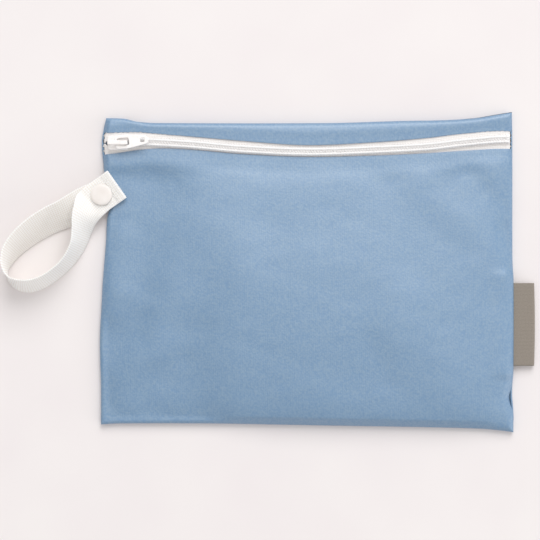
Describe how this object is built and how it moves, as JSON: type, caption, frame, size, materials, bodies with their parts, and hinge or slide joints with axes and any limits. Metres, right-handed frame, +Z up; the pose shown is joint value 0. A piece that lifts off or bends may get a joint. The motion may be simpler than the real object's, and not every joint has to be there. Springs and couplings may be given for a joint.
{
  "type": "cloth diaper wet bag",
  "caption": "Flat rectangular zipped pouch of waterproof laminated cloth with a coil zip along its top, a snap-closed webbing wrist loop and a bare side label.",
  "frame": {"origin": "on the surface that the bag lies on, under the middle of the bag's rectangle", "axes": "+X along the zip, away from the wrist loop; +Y across the bag towards the zip; +Z up from the surface"},
  "size_m": [0.308, 0.1858, 0.0199],
  "materials": {
    "laminated_knit": "light blue polyester knit with a laminated back, matt with a soft sheen",
    "zip_tape": "white woven polyester tape",
    "nylon_coil": "white nylon monofilament coil",
    "painted_zinc": "zinc casting with white gloss paint",
    "webbing": "off-white ribbed woven webbing",
    "acetal": "off-white moulded acetal, satin",
    "woven_label": "grey-brown woven satin label, left bare"
  },
  "bodies": {
    "bag": {"back_panel": "laminated_knit", "front_panel": "laminated_knit", "top_strip": "laminated_knit", "zip_tape_upper": "zip_tape", "zip_tape_lower": "zip_tape", "zip_coil": "nylon_coil", "slider_body": "painted_zinc", "wrist_strap": "webbing", "snap_back_cap": "acetal", "snap_stud": "acetal", "snap_socket": "acetal", "snap_cap": "acetal", "side_label": "woven_label"},
    "pull": {"pull_tab": "painted_zinc"}
  },
  "joints": [
    {"name": "pull_hinge", "type": "hinge", "parent": "bag", "child": "pull", "pos_m": [-0.11109, 0.074, 0.00955], "axis": [0.0958, -0.9954, 0], "range_deg": [0, 170]}
  ]
}
